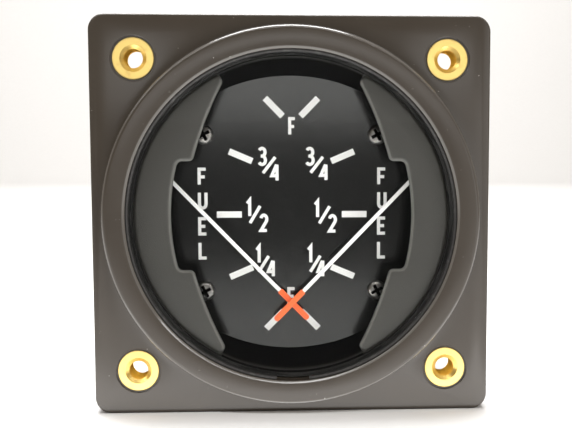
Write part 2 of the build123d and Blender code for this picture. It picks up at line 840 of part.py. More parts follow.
    # Jewel screws, each with a cup for its pivot and a driver slot
    jewel_screws = {
        "front": (bridge_front - jewel_screw_head, bridge_back + jewel_screw_nose),
        "rear": (rear_bridge_back + jewel_screw_head, rear_bridge_front - jewel_screw_nose),
    }
    for place, (head, nose) in jewel_screws.items():
        inward = 1 if nose > head else -1
        with BuildPart() as jewel_screw:
            cup = nose - inward * (pivot_lap + pivot_gap)
            jewel_outline = [
                (0, head),
                (jewel_screw_radius, head),
                (jewel_screw_radius, nose),
                (pivot_radius + pivot_gap, nose),
                (pivot_radius + pivot_gap, cup),
                (0, cup),
            ]
            revolve(half_section(section, jewel_outline), axis=axis)
            with Locations((side * needle_axis_x, head, 0)):
                Box(
                    2 * (jewel_screw_radius + overrun),
                    2 * jewel_slot_depth,
                    jewel_slot_width,
                    mode=Mode.SUBTRACT,
                )
        save(jewel_screw, f"{name}_{place}_jewel_screw")

# Circuit board behind the movements
with BuildPart() as circuit_board:
    with BuildSketch(depth(board_back)):
        Circle(board_radius)
        with GridLocations(2 * terminal_x, 2 * terminal_z, 2, 2):
            Circle(stud_radius + stud_hole_gap, mode=Mode.SUBTRACT)
    extrude(amount=board_thick)
save(circuit_board, "circuit_board")

# One calibration trimmer for each movement, between the two
with BuildPart() as calibration_trimmers:
    trimmer_front = board_front - trimmer_height
    with BuildSketch(depth(board_front)):
        with GridLocations(0, 2 * trimmer_z, 1, 2):
            RectangleRounded(trimmer_size, trimmer_size, trimmer_corner)
    extrude(amount=trimmer_height)
    with BuildSketch(depth(trimmer_front)):
        with GridLocations(0, 2 * trimmer_z, 1, 2):
            Circle(trimmer_dial_radius)
            Rectangle(2 * trimmer_dial_radius, trimmer_slot_width, mode=Mode.SUBTRACT)
    extrude(amount=trimmer_dial_height)
save(calibration_trimmers, "calibration_trimmers")

# Scaling resistors, lying on the back of the board
with BuildPart() as scaling_resistors:
    resistor_depth = board_back + resistor_stand_off + resistor_radius
    with BuildSketch(Plane.YZ.offset(-resistor_length / 2)):
        with Locations((resistor_depth, 0)):
            with GridLocations(0, resistor_pitch, 1, resistor_count):
                Circle(resistor_radius)
    extrude(amount=resistor_length)
    fillet(edges().filter_by(GeomType.CIRCLE), resistor_radius / 2)
    with BuildSketch(Plane.YZ.offset(-resistor_lead_pitch / 2)):
        with Locations((resistor_depth, 0)):
            with GridLocations(0, resistor_pitch, 1, resistor_count):
                Circle(resistor_lead_radius)
    extrude(amount=resistor_lead_pitch)
    with BuildSketch(depth(resistor_depth)):
        with GridLocations(resistor_lead_pitch, resistor_pitch, 2, resistor_count):
            Circle(resistor_lead_radius)
    extrude(amount=resistor_depth - board_back)
save(scaling_resistors, "scaling_resistors")

# Terminal studs through the board, the spacers and the back of the case
with BuildPart() as terminal_studs:
    with BuildSketch(depth(board_front)):
        with GridLocations(2 * terminal_x, 2 * terminal_z, 2, 2):
            RegularPolygon(stud_head_flats / 2, 6, major_radius=False)
    extrude(amount=stud_head_height)
    with BuildSketch(depth(stud_end)):
        with GridLocations(2 * terminal_x, 2 * terminal_z, 2, 2):
            Circle(stud_radius)
    extrude(amount=stud_end - board_front)
    chamfer(edges().group_by(Axis.Y)[-1], stud_point)
save(terminal_studs, "terminal_studs")


# Spacers, washers and nuts on the studs, four of each
with BuildPart() as terminal_spacers:
    extrude(stud_rings(case_floor, spacer_radius), amount=spacer_length)
save(terminal_spacers, "terminal_spacers")

with BuildPart() as terminal_washers:
    extrude(stud_rings(washer_back, washer_radius), amount=washer_thick)
save(terminal_washers, "terminal_washers")

with BuildPart() as terminal_nuts:
    extrude(stud_hexagons(first_nut_back), amount=nut_height)
save(terminal_nuts, "terminal_nuts")

with BuildPart() as terminal_lock_washers:
    extrude(stud_rings(lock_washer_back, lock_washer_radius), amount=lock_washer_thick)
    with BuildSketch(depth(lock_washer_back)):
        with GridLocations(2 * terminal_x, 2 * terminal_z, 2, 2):
            Rectangle(
                lock_washer_radius + overrun,
                lock_washer_split,
                align=(Align.MIN, Align.CENTER),
            )
    extrude(amount=lock_washer_thick, mode=Mode.SUBTRACT)
save(terminal_lock_washers, "terminal_lock_washers")

with BuildPart() as wire_nuts:
    extrude(stud_hexagons(second_nut_back), amount=nut_height)
save(wire_nuts, "wire_nuts")
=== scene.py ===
import json
from math import asin, atan2, cos, degrees, hypot, pi, radians, sin, tan

import bpy
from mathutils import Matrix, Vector


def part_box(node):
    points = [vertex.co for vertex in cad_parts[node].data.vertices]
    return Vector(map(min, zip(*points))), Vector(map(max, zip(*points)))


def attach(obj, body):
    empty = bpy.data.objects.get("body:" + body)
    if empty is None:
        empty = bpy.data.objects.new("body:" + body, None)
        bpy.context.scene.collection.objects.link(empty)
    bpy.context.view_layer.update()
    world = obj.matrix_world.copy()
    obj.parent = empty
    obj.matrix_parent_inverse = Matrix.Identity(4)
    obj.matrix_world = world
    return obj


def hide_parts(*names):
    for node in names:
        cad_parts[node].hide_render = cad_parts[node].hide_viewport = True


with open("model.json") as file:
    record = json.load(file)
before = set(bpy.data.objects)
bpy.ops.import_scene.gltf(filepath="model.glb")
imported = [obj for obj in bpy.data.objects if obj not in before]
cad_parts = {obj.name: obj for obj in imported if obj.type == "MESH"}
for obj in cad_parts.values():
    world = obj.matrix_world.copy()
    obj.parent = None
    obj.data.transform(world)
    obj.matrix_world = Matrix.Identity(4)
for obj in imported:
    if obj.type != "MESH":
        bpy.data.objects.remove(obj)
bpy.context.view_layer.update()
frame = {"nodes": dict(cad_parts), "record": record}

# Case: flange, front ring and can, one moulding in black thermoset plastic.
# Corner bosses behind the flange hold the brass inserts; pads and barrier ribs
# on the closed back keep the terminals apart.
MM = 0.001
ROUND = 192

case_low, case_high = (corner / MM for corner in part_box("case_body"))
lens_low, lens_high = (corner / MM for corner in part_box("lens"))
spacer_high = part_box("terminal_spacers")[1] / MM
washer_low, washer_high = (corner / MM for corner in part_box("terminal_washers"))
insert_low, insert_high = (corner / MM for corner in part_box("flange_inserts"))

flange_half = case_high.x
flange_corner = 2.4
flange_thick = 5.0
flange_round = 0.3
ring_radius = 28.5
ring_round = 0.65
ring_foot = 0.35
foot_radius = ring_radius + ring_foot
collar_depth = 1.0
lens_gap = 0.15
bore_radius = lens_high.x + lens_gap
bore_edge = 0.375
can_wall = 2.6
can_radius = bore_radius + can_wall
can_draft = 0.4
can_round = 1.5
floor_depth = spacer_high.y
floor_thick = 2.5
back_depth = floor_depth + floor_thick
hub_hole = 0.4
plug_radius = 1.0
pad_depth = washer_low.y
pad_radius = 5.2
pad_edge = 0.15
terminal_x = 11.0
terminal_z = 7.5
stud_hole = 2.18
barrier_reach = 14.0
barrier_half = 0.8
barrier_depth = case_high.y
barrier_corner = 0.5
barrier_round = 0.2
insert_radius = 3.175
insert_place = insert_high.x - insert_radius
boss_radius = 4.825
boss_depth = insert_high.y
boss_reach = 2.4
boss_round = 0.3
mouth_radius = 3.375
mouth_depth = 0.3
mouth_flare = 0.3
overlap = 0.5
clearance = 1.0
sliver = 0.01


def deselect():
    if bpy.context.object and bpy.context.object.mode != "OBJECT":
        bpy.ops.object.mode_set(mode="OBJECT")
    bpy.ops.object.select_all(action="DESELECT")


def settle(piece, name):
    """Name a new piece and leave its place in its mesh."""
    piece.name = name
    piece.data.name = name
    deselect()
    piece.select_set(True)
    bpy.context.view_layer.objects.active = piece
    bpy.ops.object.transform_apply(location=True, rotation=True, scale=True)
    return piece


def turned(name, outline, x=0.0, z=0.0, around=ROUND, closed=False):
    """A lathe piece about a fore and aft line, from (radius, depth) points in mm.
    An outline that isn't closed gets a flat cap at each end."""
    deselect()
    radius, depth = outline[0]
    place = (0, 0, depth * MM)
    bpy.ops.mesh.primitive_circle_add(vertices=around, radius=radius * MM, location=place)
    piece = bpy.context.object
    bpy.ops.object.transform_apply(location=True, rotation=False, scale=False)
    bpy.ops.object.mode_set(mode="EDIT")
    bpy.ops.mesh.select_all(action="SELECT")
    if not closed:
        bpy.ops.mesh.edge_face_add()
        bpy.ops.mesh.select_all(action="SELECT")
    stops = outline[1:] + outline[:1] if closed else outline[1:]
    for next_radius, next_depth in stops:
        shift = (0, 0, (next_depth - depth) * MM)
        if closed:
            bpy.ops.mesh.extrude_edges_move(TRANSFORM_OT_translate={"value": shift})
        else:
            bpy.ops.mesh.extrude_region_move(TRANSFORM_OT_translate={"value": shift})
        grow = next_radius / radius
        bpy.ops.transform.resize(value=(grow, grow, 1), center_override=(0, 0, next_depth * MM))
        radius, depth = next_radius, next_depth
    bpy.ops.mesh.select_all(action="SELECT")
    bpy.ops.mesh.remove_doubles(threshold=1e-7)
    bpy.ops.mesh.normals_make_consistent(inside=False)
    bpy.ops.object.mode_set(mode="OBJECT")
    piece.rotation_euler = (-pi / 2, 0, 0)
    piece.location = (x * MM, 0, z * MM)
    return settle(piece, name)


def plate(name, outline, front, back):
    """A flat piece that faces the viewer, from a closed outline of (x, z) points in mm."""
    deselect()
    bpy.ops.mesh.primitive_circle_add(vertices=len(outline), fill_type="NGON")
    piece = bpy.context.object
    for corner, (x, z) in zip(piece.data.vertices, outline):
        corner.co = (x * MM, back * MM, z * MM)
    bpy.ops.object.mode_set(mode="EDIT")
    bpy.ops.mesh.select_all(action="SELECT")
    bpy.ops.mesh.extrude_region_move(TRANSFORM_OT_translate={"value": (0, (front - back) * MM, 0)})
    bpy.ops.mesh.select_all(action="SELECT")
    bpy.ops.mesh.normals_make_consistent(inside=False)
    return settle(piece, name)


def arc(x, z, radius, start, end, steps):
    """Points of an arc, angles in degrees anticlockwise from the right."""
    turns = [radians(start + (end - start) * step / steps) for step in range(steps + 1)]
    return [(x + radius * cos(turn), z + radius * sin(turn)) for turn in turns]


def rounded(corners):
    """Closed outline whose (x, z, radius) corners are rounded by that radius."""
    outline = []
    for index, (x, z, radius) in enumerate(corners):
        if radius == 0:
            outline.append((x, z))
            continue
        before, after = corners[index - 1], corners[(index + 1) % len(corners)]
        inward = Vector((before[0] - x, before[1] - z)).normalized()
        onward = Vector((after[0] - x, after[1] - z)).normalized()
        half = inward.angle(onward) / 2
        middle = Vector((x, z)) + (inward + onward).normalized() * radius / sin(half)
        first = Vector((x, z)) + inward * radius / tan(half) - middle
        turn = (pi - 2 * half) * (1 if inward.cross(onward) < 0 else -1)
        start = degrees(atan2(first.y, first.x))
        steps = max(3, round(degrees(abs(turn)) / 9))
        outline += arc(middle.x, middle.y, radius, start, start + degrees(turn), steps)
    return outline


def square(half_x, half_z, radius, x=0.0, z=0.0):
    corners = ((1, 1), (-1, 1), (-1, -1), (1, -1))
    return rounded([(x + right * half_x, z + up * half_z, radius) for right, up in corners])


def four(across, up):
    """The four places that lie so far across and so far up or down from the axis."""
    return [(right * across, above * up) for right in (-1, 1) for above in (-1, 1)]


def modify(piece, kind, **settings):
    """Add one modifier, set it and apply it."""
    modifier = piece.modifiers.new(kind.lower(), kind)
    for setting, value in settings.items():
        setattr(modifier, setting, value)
    deselect()
    piece.select_set(True)
    bpy.context.view_layer.objects.active = piece
    bpy.ops.object.modifier_apply(modifier=modifier.name)
    return piece


def combine(piece, operation, *tools):
    """Boolean pieces into the first one, and take the tools away."""
    for tool in tools:
        modify(piece, "BOOLEAN", operation=operation, object=tool, solver="EXACT")
        bpy.data.objects.remove(tool)
    return piece


def soften(piece, width, angle=30.0, segments=3):
    """Break sharp edges with a small round."""
    modify(
        piece,
        "BEVEL",
        width=width * MM,
        segments=segments,
        limit_method="ANGLE",
        angle_limit=radians(angle),
        use_clamp_overlap=True,
    )
    return piece


def smooth(piece, angle=35.0):
    deselect()
    piece.select_set(True)
    bpy.context.view_layer.objects.active = piece
    bpy.ops.object.shade_smooth_by_angle(angle=radians(angle))
    return piece




class Value:
    """One output of a material's node, with arithmetic that adds Math nodes."""

    def __init__(self, finish, socket):
        self.finish = finish
        self.socket = socket

    def math(self, operation, *numbers):
        return self.finish.node("Math", {"operation": operation}, *numbers)

    def __add__(self, other):
        return self.math("ADD", self, other)

    def __sub__(self, other):
        return self.math("SUBTRACT", self, other)

    def __rsub__(self, other):
        return self.math("SUBTRACT", other, self)

    def __mul__(self, other):
        return self.math("MULTIPLY", self, other)


    def __pow__(self, other):
        return self.math("POWER", self, other)

    def __abs__(self):
        return self.math("ABSOLUTE", self)

    __radd__ = __add__
    __rmul__ = __mul__

    def band(self, low, high):
        """0 below low, 1 above high, and a smooth step between them."""
        settings = {"interpolation_type": "SMOOTHSTEP"}
        return self.finish.node("MapRange", settings, self, low, high, 0.0, 1.0)


def away(across, up):
    """Distance from a line, for values that are measured across it and up from it."""
    return (across ** 2 + up ** 2) ** 0.5


class Finish:
    """A procedural material. Lengths in its patterns are in millimetres."""

    def __init__(self, name, **constants):
        self.material = bpy.data.materials.new(name)
        self.material.use_nodes = True
        self.tree = self.material.node_tree
        self.shader = self.tree.nodes["Principled BSDF"]
        for socket, value in constants.items():
            self.shader.inputs[socket.replace("_", " ")].default_value = value
        place = self.tree.nodes.new("ShaderNodeTexCoord")
        scale = self.tree.nodes.new("ShaderNodeVectorMath")
        scale.operation = "SCALE"
        scale.inputs["Scale"].default_value = 1 / MM
        self.tree.links.new(place.outputs["Object"], scale.inputs[0])
        self.place = Value(self, scale.outputs[0])

    def node(self, kind, settings, *values, out=0, **named):
        node = self.tree.nodes.new("ShaderNode" + kind)
        for setting, value in settings.items():
            setattr(node, setting, value)
        for key, value in [*enumerate(values), *named.items()]:
            self.feed(value, node.inputs[key.replace("_", " ") if isinstance(key, str) else key])
        return Value(self, node.outputs[out])

    def feed(self, value, socket):
        if isinstance(value, Value):
            self.tree.links.new(value.socket, socket)
        else:
            socket.default_value = value

    def axes(self):
        """The x, y and z of each point, in mm."""
        parts = self.tree.nodes.new("ShaderNodeSeparateXYZ")
        self.tree.links.new(self.place.socket, parts.inputs[0])
        return [Value(self, output) for output in parts.outputs]

    def noise(self, size, detail=3.0, roughness=0.5, stretch=(1, 1, 1)):
        """Noise with features about size mm across, from 0 to 1."""
        place = self.place
        if stretch != (1, 1, 1):
            place = self.node("VectorMath", {"operation": "MULTIPLY"}, place, stretch)
        return self.node(
            "TexNoise",
            {},
            Vector=place,
            Scale=1 / size,
            Detail=detail,
            Roughness=roughness,
            out="Fac",
        )

    def cells(self, scale):
        """Distance from the nearest of many scattered points, in cells."""
        settings = {"feature": "F1"}
        return self.node("TexVoronoi", settings, Vector=self.place, Scale=scale, out="Distance")

    def specks(self, spacing, size):
        """Scattered dots: 1 inside each, 0 outside."""
        return 1 - self.cells(1 / spacing).band(size * 0.6 / spacing, size / spacing)

    def mix(self, share, first, second):
        """Colour from first to second as share goes from 0 to 1."""
        mix = self.tree.nodes.new("ShaderNodeMix")
        mix.data_type = "RGBA"
        self.feed(share, mix.inputs["Factor"])
        self.feed(first, mix.inputs[6])
        self.feed(second, mix.inputs[7])
        return Value(self, mix.outputs[2])

    def bump(self, height, depth):
        """Relief whose height, from 0 to 1, stands for depth mm."""
        settings = {"Strength": 1.0, "Distance": depth * MM, "Height": height}
        self.set(Normal=self.node("Bump", {}, out="Normal", **settings))

    def set(self, **sockets):
        for socket, value in sockets.items():
            self.feed(value, self.shader.inputs[socket.replace("_", " ")])

    def paint(self, piece, slot=None):
        piece.data.materials.clear()
        piece.data.materials.append(self.material)




ring_front = case_low.y
quarter = [radians(15 * step) for step in range(7)]
ring_arc = [
    (ring_radius - ring_round * (1 - sin(turn)), ring_front + ring_round * (1 - cos(turn)))
    for turn in quarter
]
back_arc = [
    (
        can_radius - can_draft - can_round * (1 - cos(turn)),
        back_depth - can_round * (1 - sin(turn)),
    )
    for turn in quarter
]
foot_arc = [
    (ring_radius + ring_foot * (1 - cos(turn)), -ring_foot * (1 - sin(turn)))
    for turn in [radians(16 * step) for step in range(6)]
]
# The bore's worn edge: the slope of each facet in degrees, and its length
bore_facets = (
    (75, 0.05),
    (52, 0.06),
    (39, 0.08),
    (37, 0.14),
    (37, 0.14),
    (35, 0.08),
    (15, 0.06),
)
bore_arc = [(bore_radius, ring_front + bore_edge)]
for slope, length in bore_facets:
    radius, depth = bore_arc[-1]
    bore_arc.append((radius + length * cos(radians(slope)), depth - length * sin(radians(slope))))
can_outline = [
    *ring_arc,
    *foot_arc,
    (foot_radius, 0.02),
    (foot_radius, collar_depth),
    (can_radius, collar_depth),
    *back_arc,
    (hub_hole, back_depth),
    (hub_hole, floor_depth),
    (bore_radius, floor_depth),
    *bore_arc,
]
case = turned("case", can_outline, closed=True)
flange = plate("flange", square(flange_half, flange_half, flange_corner), 0.0, flange_thick)
soften(flange, flange_round)
opening = [
    (can_radius - clearance, -clearance),
    (can_radius - clearance, flange_thick + clearance),
]
combine(flange, "DIFFERENCE", turned("opening", opening))
plug = [(plug_radius, floor_depth), (plug_radius, back_depth)]
combine(case, "UNION", flange, turned("floor_plug", plug, around=24))
insert_places = four(insert_place, insert_place)
for x, z in insert_places:
    toward = atan2(z, x)
    facing = degrees(toward)
    near = hypot(x, z) - boss_reach
    boss_outline = [
        *arc(x, z, boss_radius, facing - 90, facing + 90, 24),
        *arc(near * cos(toward), near * sin(toward), boss_radius, facing + 90, facing + 270, 24),
    ]
    boss = plate("boss", boss_outline, flange_thick - overlap, boss_depth)
    soften(boss, boss_round, segments=2)
    combine(case, "UNION", boss)
stud_places = four(terminal_x, terminal_z)
pad = [
    (pad_radius, back_depth - overlap),
    (pad_radius, pad_depth - pad_edge),
    (pad_radius - pad_edge, pad_depth),
]
for x, z in stud_places:
    combine(case, "UNION", turned("pad", pad, x, z, 64))
barrier_outline = square(barrier_half, barrier_reach, barrier_corner)
upright = plate("upright", barrier_outline, barrier_depth, back_depth - overlap)
barrier_outline = square(barrier_reach, barrier_half, barrier_corner)
level = plate("level", barrier_outline, barrier_depth, back_depth - overlap)
combine(upright, "UNION", level)
soften(upright, barrier_round, segments=2)
combine(case, "UNION", upright)
hole = [(stud_hole, floor_depth - clearance), (stud_hole, pad_depth + clearance)]
for x, z in stud_places:
    combine(case, "DIFFERENCE", turned("hole", hole, x, z, 48))
mouth = [
    (insert_radius, boss_depth + clearance),
    (insert_radius, mouth_depth),
    (mouth_radius, mouth_depth),
    (mouth_radius, 0.08),
    (mouth_radius + mouth_flare, -0.2),
]
for x, z in insert_places:
    combine(case, "DIFFERENCE", turned("mouth", mouth, x, z, 96))
modify(case, "WELD", merge_threshold=sliver * MM)
smooth(case)

plastic = Finish("black_thermoset", IOR=1.52)
cloud = plastic.noise(9.0, 4.0)
grain = plastic.noise(0.12, 2.0)
dust = plastic.specks(2.0, 0.08) * plastic.noise(6.0).band(0.44, 0.62)
rub = plastic.noise(1.6, 6.0, 0.7, stretch=(1, 1, 1.6)).band(0.60, 0.78)
tone = plastic.mix(cloud, (0.030, 0.023, 0.0165, 1), (0.042, 0.034, 0.0255, 1))
tone = plastic.mix(rub * 0.15, tone, (0.055, 0.049, 0.042, 1))
x, y, z = plastic.axes()
from_axis = away(x, z)
# Lighter bands round the bore's front edge and the ring's outer front edge: partly edge wear,
# partly painted highlight where the rounded edges catch the light.
inner_edge = 1 - from_axis.band(bore_radius + 0.28, bore_radius + 0.42)
outer_edge = from_axis.band(ring_radius - 0.42, ring_radius - 0.2)
front_edge = 1 - y.band(ring_front + 0.3, ring_front + 0.6)
edge_wear_and_highlight = (inner_edge * 0.7 + outer_edge * 0.6) * front_edge
tone = plastic.mix(edge_wear_and_highlight * 0.4, tone, (0.24, 0.23, 0.215, 1))
plastic.set(
    Base_Color=plastic.mix(dust, tone, (0.55, 0.52, 0.48, 1)),
    Roughness=0.22 + cloud * 0.07 + rub * 0.04 + dust * 0.3 - edge_wear_and_highlight * 0.2,
)
plastic.bump((grain - 0.5) * (1 - edge_wear_and_highlight * 1.3) * 0.7 + cloud * 0.3, 0.008)
plastic.paint(case, "case_plastic")
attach(case, "case")
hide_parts("case_body")

# Flange inserts: four turned brass bushes with 6-32 threads, moulded in flush.
# Each sits a little below the plastic, with a bright faced end and a countersink.
insert_front = insert_low.y
insert_edge = 0.12
insert_back_edge = 0.1
thread_radius = 1.4
thread_pitch = 0.794
thread_depth = 0.32
thread_front = insert_front + 0.7
thread_back = boss_depth - 0.3
sink_radius = 2.0
sink_depth = insert_front + 0.55


def thread(radius, start, end, pitch, depth):
    """Ridges along a rod or, with a negative depth, inside a hole."""
    points = []
    turns = int((end - start) / pitch)
    for turn in range(turns):
        points += [(radius - depth, start + turn * pitch), (radius, start + (turn + 0.5) * pitch)]
    return points


def join(name, *pieces):
    deselect()
    for piece in pieces:
        piece.select_set(True)
    bpy.context.view_layer.objects.active = pieces[0]
    bpy.ops.object.join()
    return settle(bpy.context.object, name)


def ripples(finish, value, scale, **settings):
    """Noise that changes along one value alone, as turning marks do."""
    one = {"noise_dimensions": "1D"}
    return finish.node("TexNoise", one, W=value, Scale=scale, out="Fac", **settings)


bush = [
    (insert_radius - insert_edge, insert_front),
    (insert_radius, insert_front + insert_edge),
    (insert_radius, boss_depth - insert_back_edge),
    (insert_radius - insert_back_edge, boss_depth),
    (sink_radius, boss_depth),
    *reversed(thread(thread_radius, thread_front, thread_back, thread_pitch, -thread_depth)),
    (thread_radius + 0.02, sink_depth),
    (sink_radius, insert_front),
]
inserts = [
    smooth(turned("insert", bush, x, z, 96, closed=True), 25.0) for x, z in insert_places
]
flange_inserts = join("brass_inserts", *inserts)

brass = Finish("turned_brass", Metallic=1.0)
x, _, z = brass.axes()
from_centre = away(abs(x) - insert_place, abs(z) - insert_place)
ripple = ripples(brass, from_centre, 9.0, Detail=2.0)
dull = brass.noise(1.8, 4.0, 0.6).band(0.5, 0.8)
metal = brass.mix(dull * 0.6, (0.85, 0.63, 0.21, 1), (0.62, 0.42, 0.15, 1))
edge = from_centre.band(insert_radius - 0.35, insert_radius)
brass.set(
    Base_Color=brass.mix(edge * 0.6, metal, (0.22, 0.17, 0.10, 1)),
    Roughness=0.26 + dull * 0.12 + ripple * 0.1,
)
brass.bump(ripple, 0.008)
brass.paint(flange_inserts, "insert_brass")
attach(flange_inserts, "case")
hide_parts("flange_inserts")

# Terminals: brass studs through the back, each with a washer, a nut, a split
# lock washer and the outer nut that clamps the aircraft's wire.
board_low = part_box("circuit_board")[0] / MM
stud_low, stud_high = (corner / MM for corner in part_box("terminal_studs"))
nut_low, nut_high = (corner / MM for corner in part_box("terminal_nuts"))
lock_low, lock_high = (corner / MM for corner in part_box("terminal_lock_washers"))
wire_nut_low, wire_nut_high = (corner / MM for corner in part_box("wire_nuts"))
stud_radius = 2.08
stud_pitch = 0.794
stud_ridge = 0.3
stud_head = 3.6
shank_radius = stud_radius - 0.1
washer_radius = washer_high.x - terminal_x
washer_bore = stud_radius + 0.1
washer_edge = 0.08
lock_radius = lock_high.z - terminal_z
lock_round = 0.12
gap_half = (1.3, 0.45)
nut_flat = nut_high.z - terminal_z
nut_bore = stud_radius + 0.02
nut_dome = 0.45
nut_sink = 0.3


def hexagon_nut(name, x, z, front, back):
    """A hexagon nut with chamfered corners on both faces and a sunk hole."""
    corner = nut_flat / cos(pi / 6)
    blank = turned(name, [(corner, front), (corner, back)], x, z, 6)
    cone = [
        (nut_flat * 0.98, front),
        (corner + 0.1, front + nut_dome),
        (corner + 0.1, back - nut_dome),
        (nut_flat * 0.98, back),
    ]
    combine(blank, "INTERSECT", turned("cone", cone, x, z, 96))
    hole = [
        (nut_bore + nut_sink, front - 0.01),
        (nut_bore, front + nut_sink),
        (nut_bore, back - nut_sink),
        (nut_bore + nut_sink, back + 0.01),
    ]
    combine(blank, "DIFFERENCE", turned("tap", hole, x, z, 48))
    return smooth(blank, 20.0)


rod = [
    (stud_radius - 0.45, stud_high.y),
    (shank_radius, stud_high.y - 0.35),
    *reversed(thread(stud_radius, back_depth, stud_high.y - 0.5, stud_pitch, stud_ridge)),
    (shank_radius, board_low.y),
    (stud_head, board_low.y),
    (stud_head, stud_low.y),
]
washer = [
    (washer_radius - washer_edge, washer_high.y),
    (washer_radius, washer_high.y - washer_edge),
    (washer_radius, washer_low.y),
    (washer_bore, washer_low.y),
    (washer_bore, washer_high.y),
]
lock = [
    (lock_radius, lock_low.y),
    (lock_radius, lock_high.y),
    (washer_bore, lock_high.y),
    (washer_bore, lock_low.y),
]
studs, nuts, washers, lock_washers, wire_nuts = [], [], [], [], []
for x, z in stud_places:
    studs.append(smooth(turned("stud", rod, x, z, 64), 25.0))
    washers.append(smooth(turned("washer", washer, x, z, 96, closed=True)))
    nuts.append(hexagon_nut("nut", x, z, nut_low.y, nut_high.y))
    wire_nuts.append(hexagon_nut("wire_nut", x, z, wire_nut_low.y, wire_nut_high.y))
    lock_washer = turned("lock_washer", lock, x, z, 96, closed=True)
    soften(lock_washer, lock_round, segments=2)
    split = square(*gap_half, 0.05, x + lock_radius - 0.9, z)
    gap = plate("gap", split, lock_low.y - 0.1, lock_high.y + 0.1)
    lock_washers.append(smooth(combine(lock_washer, "DIFFERENCE", gap)))

plated_brass = Finish("plated_brass", Metallic=1.0)
scratch = plated_brass.noise(0.25, 3.0, 0.6, stretch=(1, 6, 1))
tarnish = plated_brass.noise(1.6, 5.0, 0.6).band(0.45, 0.75)
plated_brass.set(
    Base_Color=plated_brass.mix(tarnish, (0.80, 0.64, 0.36, 1), (0.42, 0.31, 0.17, 1)),
    Roughness=0.28 + tarnish * 0.25 + scratch * 0.1,
)
plated_brass.bump(scratch, 0.01)

zinc = Finish("zinc_plate", Metallic=1.0)
stain = zinc.noise(1.2, 4.0, 0.6)
streak = zinc.noise(0.2, 3.0, 0.5, stretch=(1, 5, 1))
zinc.set(
    Base_Color=zinc.mix(stain.band(0.4, 0.75), (0.66, 0.67, 0.68, 1), (0.42, 0.41, 0.38, 1)),
    Roughness=0.26 + stain * 0.2 + streak * 0.1,
)
zinc.bump(streak, 0.008)

for name, group, finish, slot, node in (
    ("threaded_studs", studs, plated_brass, "terminal_brass", "terminal_studs"),
    ("stud_nuts", nuts, plated_brass, "terminal_brass", "terminal_nuts"),
    ("outer_nuts", wire_nuts, plated_brass, "terminal_brass", "wire_nuts"),
    ("flat_washers", washers, zinc, "plated_steel", "terminal_washers"),
    ("split_washers", lock_washers, zinc, "plated_steel", "terminal_lock_washers"),
):
    piece = join(name, *group)
    finish.paint(piece, slot)
    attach(piece, "case")
    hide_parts(node)

# Lens and its retaining wire: a flat disc of glass with ground edges, coated to
# cut glare, held by a split ring of blackened spring wire in a groove in the bore.
lens_radius = lens_high.x
lens_front = lens_low.y
lens_back = lens_high.y
wire_radius = 0.35
wire_depth = lens_front - wire_radius
wire_ring_radius = bore_radius - wire_radius + 0.2
wire_split = 5.0
lens_edge = 0.2


def grey(level, blue=0.0):
    return (level, level, level * (1 + blue), 1.0)


def surface(finish, shader):
    """Send a shader to the material's output."""
    finish.feed(shader, finish.tree.nodes["Material Output"].inputs["Surface"])


lens_outline = [
    (lens_radius - lens_edge, lens_front),
    (lens_radius, lens_front + lens_edge),
    (lens_radius, lens_back - lens_edge),
    (lens_radius - lens_edge, lens_back),
]
glass_disc = smooth(turned("glass_disc", lens_outline, around=256), 25.0)
glass = Finish("window_glass")
smear = glass.noise(7.0, 5.0, 0.6)
dust = glass.specks(1.9, 0.05) * glass.noise(5.0, 2.0).band(0.5, 0.62)
clear = glass.node("BsdfTransparent", {}, Color=(0.985, 0.99, 0.985, 1.0))
sheen = glass.node("BsdfGlossy", {}, Color=grey(1.0), Roughness=0.015 + smear * 0.03)
haze = glass.node("BsdfDiffuse", {}, Color=grey(0.6))
mirror = glass.node("Fresnel", {}, IOR=1.5) * 0.02
film = dust * 0.35 + smear.band(0.6, 0.95) * 0.006
window = glass.node("MixShader", {}, mirror, clear, sheen)
window = glass.node("MixShader", {}, film, window, haze)
glass.tree.nodes.remove(glass.shader)
surface(glass, window)
glass.paint(glass_disc, "lens_glass")
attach(glass_disc, "case")
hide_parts("lens")

deselect()
bpy.ops.mesh.primitive_circle_add(
    vertices=24,
    radius=wire_radius * MM,
    location=(wire_ring_radius * MM, wire_depth * MM, 0),
)
wire = bpy.context.object
bpy.ops.object.mode_set(mode="EDIT")
bpy.ops.mesh.select_all(action="SELECT")
bpy.ops.mesh.edge_face_add()
bpy.ops.mesh.select_all(action="SELECT")
split_half = wire_split / wire_ring_radius / 2
bpy.ops.transform.rotate(value=-(pi / 2 - split_half), orient_axis="Y", center_override=(0, 0, 0))
bpy.ops.mesh.spin(steps=192, angle=2 * pi - 2 * split_half, center=(0, 0, 0), axis=(0, 1, 0))
bpy.ops.mesh.select_all(action="SELECT")
bpy.ops.mesh.normals_make_consistent(inside=False)
wire = smooth(settle(wire, "retaining_wire"), 40.0)
steel = Finish("blackened_wire_steel", Metallic=0.8)
wear = steel.noise(0.9, 4.0, 0.6).band(0.5, 0.75)
steel.set(
    Base_Color=steel.mix(wear, (0.045, 0.044, 0.043, 1), (0.09, 0.088, 0.086, 1)),
    Roughness=0.4 - wear * 0.05,
)
steel.bump(steel.noise(0.1, 3.0), 0.001)
steel.paint(wire, "blackened_wire")
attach(wire, "case")
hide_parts("lens_retaining_ring")

# Gasket: a thin black rubber ring between the lens and the mask's rim.
def mottled(name, size, first, second, rough, spread, relief, detail=3.0):
    """A finish whose colour, gloss and height wander together over size mm."""
    finish = Finish(name)
    mottle = finish.noise(size, detail)
    finish.set(
        Base_Color=finish.mix(mottle, first, second),
        Roughness=rough + mottle * spread,
    )
    finish.bump(mottle, relief)
    return finish


rubber = mottled(
    "gasket_black_rubber", 0.2, grey(0.010), (0.022, 0.021, 0.020, 1), 0.65, 0.2, 0.02
)
rubber.paint(frame["nodes"]["lens_gasket"], "gasket_rubber")

